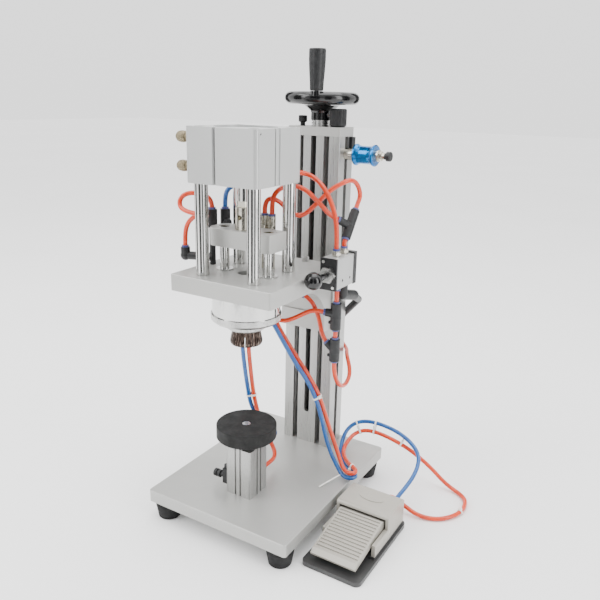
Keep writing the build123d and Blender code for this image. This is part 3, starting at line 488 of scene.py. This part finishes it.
SHORT_TUBES = {
    # name: (slot, length in mm, route in mm)
    "tube_valve_feed": ("tube_orange", 131, [
        (30, -4.9, 467), (31, 10, 466.5), (42, 15, 463), (55, 12, 457), (66, 10, 447.5),
        (76, 8.5, 433), (83, 7.6, 415), (85.8, 7.4, 396), (86, 7.5, 376.6)]),
    "tube_upper_front": ("tube_orange", 126, [
        (14, -30, 417.6), (14, -30.5, 430), (13.5, -25, 442), (18, -12, 450), (30, 0, 451),
        (43, 5, 445), (54, 9, 434), (62, 16, 423), (68, 22.2, 414.4), (74.5, 29.3, 409.2)]),
    "tube_upper_back": ("tube_orange", 200, [
        (3, -30, 417.6), (3, -30.5, 429), (6, -23, 436.5), (13, -12, 431), (20, -3, 419.5),
        (28, 4, 412.5), (37, 8.5, 413.5), (46.5, 14.5, 423.5), (56, 22, 436), (66, 27, 447),
        (76, 33, 454), (82, 43, 458), (84.5, 54, 455.5), (86, 63, 447), (86.6, 67, 435.5),
        (86, 61.5, 427), (86, 56.52, 420.11)]),
    "tube_left_loop": ("tube_orange", 172, [
        (-61, -54, 421.6), (-61, -55, 430), (-66, -61, 437), (-78, -69, 440), (-89, -75, 437),
        (-94, -78, 428.5), (-90, -80, 420.5), (-79, -80, 417), (-67, -80, 416), (-59, -79, 415),
        (-55.5, -73, 413.5), (-59, -67, 412), (-68, -66, 411.5), (-80, -66, 409.5),
        (-91, -66.5, 400), (-95.5, -67, 386), (-95.5, -67, 370.6)]),
    "tube_blue_back": ("tube_blue", 72, [
        (-54, -36, 420.6), (-54.5, -35.5, 431), (-56.5, -29, 440.5), (-55, -18, 445.5),
        (-47, -9, 447), (-37, -6.5, 446.5), (-31, -8.5, 451.5), (-30, -10, 460.4)]),
    "tube_flange_tee": ("tube_orange", 97, [
        (6, -12.5, 303.4), (6, -13, 291), (7.5, -12.5, 280), (13, -10.5, 273), (22, -7.5, 273),
        (33, -5, 278), (46, -2, 286), (59, 1.12, 293.32), (71.12, 6.45, 291.38)]),
    "tube_lower_tee": ("tube_orange", 67, [
        (42.36, 7.39, 308.02), (51, 9, 302), (57, 10, 292), (61.5, 11, 281), (65, 10.5, 269.5),
        (68.5, 9.8, 258), (73.68, 10.65, 250.32)]),
    "tube_tee_loop": ("tube_orange", 213, [
        (86, 13, 221.9), (86, 13.5, 210), (87, 18, 196), (87, 28, 184), (86, 42, 176.5),
        (83.5, 57, 174), (79.5, 74, 176.5), (72.5, 89, 181.5), (63.5, 102, 186.5),
        (55.5, 113, 189.5), (49, 124, 190.5), (43.5, 135, 190.5), (36, 144.5, 191),
        (27.5, 150.5, 194), (20, 150, 204.5), (20, 150, 219.4)]),
}

LONG_HOSES = {
    # name: (slot, length in mm, height in mm under which it lies still, route in mm)
    "hose_table_blue": ("tube_blue", 267, 105, [
        (-42, -14, 303.4), (-42.5, -14.5, 283), (-44, -14.8, 252), (-43.4, -14.5, 222),
        (-38.8, -14.5, 188), (-35, -13, 160), (-33.5, -8, 134), (-28, 4, 112), (-12, 10, 101),
        (4, 2, 98), (6.5, -16, 98), (6.5, -33.9, 98)]),
    "hose_table_orange": ("tube_orange", 288, 90, [
        (-31, -8, 303.4), (-32.5, -8.3, 283), (-37, -8.5, 250), (-37.2, -9, 222),
        (-33, -9.3, 188), (-29.5, -8.5, 158), (-25, -6.5, 133), (-19, -1, 105), (-14, 8, 82),
        (-3, 8, 66), (6, -5, 62.5), (6.5, -20, 62), (6.5, -33.9, 62)]),
    "hose_pedal_blue": ("tube_blue", 650, 85, [
        (-10, -13, 303.4), (-8.5, -13.4, 290), (-3, -13.3, 279), (5, -11.3, 267.5), (17, -7, 245),
        (31, -1, 218.5), (40, 5, 201), (47.5, 10.5, 186.5), (57, 18, 161), (63.5, 25.5, 129),
        (67.5, 30.5, 100), (75, 34, 74), (87, 33, 56), (99, 27, 47.5), (110.5, 26, 47.5),
        (117, 34.5, 47.5), (111, 43.5, 47), (99, 48.5, 46), (86, 58, 45.6), (74, 72, 45.4),
        (64, 88, 46.5), (58, 104, 54), (57, 118, 65), (64, 131, 74), (78, 138, 79), (97, 141, 80),
        (119, 142, 77.5), (141, 141, 72), (161, 136, 63.5), (175, 124, 56), (181, 106, 50),
        (182, 87, 43), (179, 70, 35), (175.5, 55, 29), (175, 40.6, 28)]),
    "hose_pedal_orange": ("tube_orange", 775, 85, [
        (-4, -1, 303.4), (-3.2, -1.5, 290), (-0.5, -2, 276), (6, -1, 261), (18.5, 3.5, 239),
        (33, 9, 215), (43.5, 14, 197), (52, 18.5, 181), (60, 25.5, 158), (67, 33, 126),
        (73, 39.5, 99), (80.5, 42, 77), (90, 38, 61), (100, 30, 55), (110.5, 27, 54.5),
        (116.5, 34.5, 54.5), (111, 43, 54.5), (99.5, 49.5, 53.5), (87, 60, 53), (76, 74, 52.5),
        (69, 90, 52), (66, 106, 54.5), (68, 120, 60), (77, 130.5, 65.5), (92, 134, 68),
        (111, 134.5, 67), (131, 136, 62), (152, 140, 53), (172, 143, 41), (191, 145.5, 27),
        (207, 147, 13), (222, 147, 5), (237, 142, 3.3), (248, 130, 4.1), (252, 114, 4.1),
        (251, 97, 4.1), (244, 81, 4.1), (232, 68, 3.2), (216, 60, 3.4), (199, 57, 6),
        (183, 58, 12), (167, 60, 18), (158.5, 53.5, 21.5), (157, 40.6, 22)]),
}


def route_curve(name, points, thick=True):
    """A smooth curve through the route's control points."""
    data = bpy.data.curves.new(name, "CURVE")
    data.dimensions = "3D"
    data.resolution_u = 10
    spline = data.splines.new("NURBS")
    spline.points.add(len(points) - 1)
    for knot, point in zip(spline.points, points):
        knot.co = (*(c * MM for c in point), 1.0)
    spline.order_u = 3
    spline.use_endpoint_u = True
    if thick:
        data.bevel_depth = TUBE_D / 2 * MM
        data.bevel_resolution = 5
        data.use_fill_caps = True
    return add_object(name, data)


def as_mesh(curve):
    """The curve's mesh as new data, with the curve removed."""
    bpy.context.view_layer.update()
    seen = curve.evaluated_get(bpy.context.evaluated_depsgraph_get())
    data = bpy.data.meshes.new_from_object(seen)
    bpy.data.objects.remove(curve)
    return data


def centreline(points):
    """Points along the route's smooth line, in metres."""
    data = as_mesh(route_curve("centreline", points, thick=False))
    return [vertex.co.copy() for vertex in data.vertices]


def make_short_tubes():
    """The tubes that stay on the head from end to end."""
    for name, (slot, length, points) in SHORT_TUBES.items():
        tube = dress(route_curve(name + "_soft", points), slot)
        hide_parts(name)
        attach(tube, "head")


def make_long_hoses(ties):
    """The hoses that run from the head down to the table and the pedal, made as fixed meshes."""
    for name, (slot, length, still, points) in LONG_HOSES.items():
        hose = add_object(name + "_soft", as_mesh(route_curve(name + "_soft", points)))
        for polygon in hose.data.polygons:
            polygon.use_smooth = True
        dress(hose, slot)
        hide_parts(name)
        follow_head(hose)


def follow_head(piece):
    """Bakes the piece's placement into its mesh; the piece stays where it is and does not follow
    the head.
    """
    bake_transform(piece)


# ---------------------------------------------------------------- cable ties

def nearest(line, place):
    """The point of a line of points nearest to place, and the line's direction there."""
    k = min(range(1, len(line) - 1), key=lambda i: (line[i] - place).length_squared)
    return line[k], (line[k + 1] - line[k - 1]).normalized()


def ribbon(middle, along, half_width, thickness):
    """Vertices and faces of a flat band through the points of middle; along is across its width."""
    vertices, faces = [], []
    last = len(middle) - 1
    for i, point in enumerate(middle):
        ahead = (middle[min(i + 1, last)] - middle[max(i - 1, 0)]).normalized()
        out = ahead.cross(along).normalized()
        for side, level in ((-1, -0.5), (1, -0.5), (1, 0.5), (-1, 0.5)):
            vertices.append(point + along * half_width * side + out * thickness * level)
    for i in range(last):
        a, b = 4 * i, 4 * i + 4
        for k in range(4):
            n = (k + 1) % 4
            faces.append((a + k, a + n, b + n, b + k))
    faces.append((3, 2, 1, 0))
    faces.append(tuple(4 * last + k for k in range(4)))
    return vertices, faces


def make_tie(name, place, hoses, tail, still=None, tail_way=None):
    """A nylon tie round one or two hoses near place (mm), with its head and its tail."""
    strap_width, strap_thick, tail_width, tail_thick = 1.2, 0.9, 1.1, 0.8   # widths are halves
    radius = TUBE_D / 2 + 0.55                  # of the strap's middle round a hose
    foot, crown = (2.1, 2.3, -1.0), (1.7, 1.9, 2.1)     # the head's half sizes and levels
    tail_steps, tail_turn, tail_bow = 10, 2.2, 0.08

    found = [nearest(LINES[h], Vector(place) * MM) for h in hoses]
    points = [p / MM for p, _ in found]
    along = found[0][1]
    centre = sum(points, Vector()) / len(points)
    side = points[0] - centre if len(points) > 1 else along.cross(Vector((0, 0, 1)))
    side = (side - along * side.dot(along)).normalized()
    other = along.cross(side)
    if other.z < 0:                             # the head is on the upper side
        side, other = -side, -other
    reach = (points[0] - centre).length if len(points) > 1 else 0.0

    loop = []
    for end, start_angle in ((1, -90), (-1, 90)):
        for step in range(13):
            angle = math.radians(start_angle + 15 * step)
            loop.append(centre + side * (end * reach + radius * math.cos(angle))
                        + other * radius * math.sin(angle))
    loop.append(loop[0])
    vertices, faces = ribbon(loop, along, strap_width, strap_thick)

    root = centre + other * (radius + strap_thick)
    base = len(vertices)
    for long, wide, level in (foot, crown):
        for a, b in ((-1, -1), (1, -1), (1, 1), (-1, 1)):
            vertices.append(root + along * a * long + side * b * wide + other * level)
    faces += [tuple(base + i for i in f) for f in
              ((3, 2, 1, 0), (4, 5, 6, 7), (0, 1, 5, 4), (1, 2, 6, 5), (2, 3, 7, 6), (3, 0, 4, 7))]

    way = Vector(tail_way).normalized() if tail_way else (other + side * 0.5).normalized()
    strip = [root + other * 1.2 + way * tail * t + other * math.sin(t * tail_turn) * tail_bow * tail
             for t in (k / tail_steps for k in range(tail_steps + 1))]
    across = (along - way * along.dot(way)).normalized()
    more, walls = ribbon(strip, across, tail_width, tail_thick)
    base = len(vertices)
    faces += [tuple(base + i for i in w) for w in walls]

    tie = new_piece(name, vertices + more, faces, smooth=False)
    bevel = tie.modifiers.new("round", "BEVEL")
    bevel.width = 0.0002
    bevel.segments = 2
    bevel.limit_method = "ANGLE"
    dress(tie, "nylon")
    if still is None:
        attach(tie, "frame")
    else:
        follow_head(tie)
    return tie


def make_ties():
    """Ties by the hose that carries them."""
    table = ("hose_table_blue", "hose_table_orange")
    pedal = ("hose_pedal_blue", "hose_pedal_orange")
    return {
        "hose_table_blue": [make_tie("tie_table", (-32, -11, 153), table, 3.0, still=105)],
        "hose_pedal_blue": [
            make_tie("tie_drop", (57.5, 22, 161), pedal, 3.5, still=85),
            make_tie("tie_loop", (104, 46, 50), pedal, 52.0, tail_way=(-0.35, -0.93, -0.13)),
            make_tie("tie_arc_left", (72, 130, 70), pedal, 4.0),
            make_tie("tie_arc_top", (97, 137, 74), pedal, 4.0),
        ],
        "hose_pedal_orange": [
            make_tie("tie_arc_right", (141, 138, 60), pedal[1:], 5.0),
            make_tie("tie_floor", (251, 97, 4.1), pedal[1:], 3.0),
        ],
    }


# ---------------------------------------------------------------- light and floor

def softbox(name, place, target, size, power):
    """A rectangular lamp at place, turned to target; size is its width and height in metres."""
    data = bpy.data.lights.new(name, "AREA")
    data.shape = "RECTANGLE"
    data.size, data.size_y = size
    data.energy = power
    lamp = add_object(name, data)
    lamp.location = place
    lamp.rotation_euler = (Vector(target) - Vector(place)).to_track_quat("-Z", "Y").to_euler()


def make_floor():
    """A pale paper floor."""
    half = 12.0
    data = bpy.data.meshes.new("floor")
    data.from_pydata([(-half, -half, 0), (half, -half, 0), (half, half, 0), (-half, half, 0)], [],
                     [(0, 1, 2, 3)])
    finish = Finish("floor_paper")
    finish.colour(finish.ramp(finish.noise(1.5, detail=2), (0.3, grey(0.93)), (0.7, grey(0.96))))
    finish.roughness(finish.span(finish.noise(4, detail=2), 0.75, 0.85))
    data.materials.append(finish.material)
    add_object("floor", data)


def make_room():
    """An even sky, with the room behind the camera darker for the chrome to show."""
    behind_camera = Vector((0.55, -0.83, 0.0)).normalized()
    world = bpy.data.worlds.new("studio")
    bpy.context.scene.world = world
    world.use_nodes = True
    tree = world.node_tree
    background = tree.nodes["Background"]
    coords = tree.nodes.new("ShaderNodeTexCoord")
    parts = tree.nodes.new("ShaderNodeSeparateXYZ")
    tree.links.new(coords.outputs["Generated"], parts.inputs["Vector"])
    sky = ramp_node(tree, parts.outputs["Z"],
                    ((0.0, grey(0.78)), (0.16, grey(0.8)), (0.5, grey(1.0))))
    facing = tree.nodes.new("ShaderNodeVectorMath")
    facing.operation = "DOT_PRODUCT"
    facing.inputs[1].default_value = behind_camera
    tree.links.new(coords.outputs["Generated"], facing.inputs[0])
    room = ramp_node(tree, facing.outputs["Value"], ((0.2, grey(1.0)), (0.8, grey(0.5))))
    both = tree.nodes.new("ShaderNodeMix")
    both.data_type = "RGBA"
    both.blend_type = "MULTIPLY"
    both.inputs["Factor"].default_value = 1.0
    tree.links.new(sky, both.inputs[MIX_FIRST])
    tree.links.new(room, both.inputs[MIX_SECOND])
    tree.links.new(both.outputs[MIX_RESULT], background.inputs["Color"])
    background.inputs["Strength"].default_value = 2.3


def make_flags():
    """Dark cards round the set, seen only in reflections, so that the chrome shows bands."""
    facing = math.degrees(math.atan2(CAMERA_PLACE[1], CAMERA_PLACE[0]))
    away, bottom, top = 1.15, 0.01, 1.3         # metres
    vertices, faces = [], []
    for start, end in ((-42, -9), (7, 30), (64, 92), (124, 150), (196, 224), (256, 288)):
        for angle in (start, end):
            turn = math.radians(facing + angle)
            vertices += [(away * math.cos(turn), away * math.sin(turn), z) for z in (bottom, top)]
        k = len(vertices) - 4
        faces.append((k, k + 2, k + 3, k + 1))
    data = bpy.data.meshes.new("flags")
    data.from_pydata(vertices, [], faces)
    flags = add_object("flags", data)
    finish = Finish("flag_cloth")
    finish.colour(finish.ramp(finish.noise(4), (0.3, (0.012, 0.012, 0.013, 1)),
                              (0.7, (0.02, 0.02, 0.021, 1))))
    data.materials.append(finish.material)
    for kind in ("camera", "diffuse", "shadow", "transmission"):
        setattr(flags, "visible_" + kind, False)


def make_studio():
    """The floor under soft light."""
    make_floor()
    make_room()
    middle = (0.0, 0.0, 0.3)
    softbox("key", (-1.2, -1.3, 1.5), middle, (1.4, 1.6), 34)
    softbox("side", (1.8, -0.1, 0.9), middle, (0.6, 1.6), 16)
    softbox("top", (0.1, 0.2, 2.1), middle, (1.6, 1.6), 26)
    make_flags()


# ---------------------------------------------------------------- the whole

place_camera()
FINISHES = make_finishes()
SLOTS = {part["node"]: part["material_slot"] for part in frame["record"]["subparts"]}
for cad_name, node in frame["nodes"].items():
    node.data.materials[0] = FINISHES[SLOTS[cad_name]]
LINES = {name: centreline(facts[-1]) for name, facts in LONG_HOSES.items()}
make_short_tubes()
make_long_hoses(make_ties())
make_knurled_ring()
make_lead_screw()
make_studio()
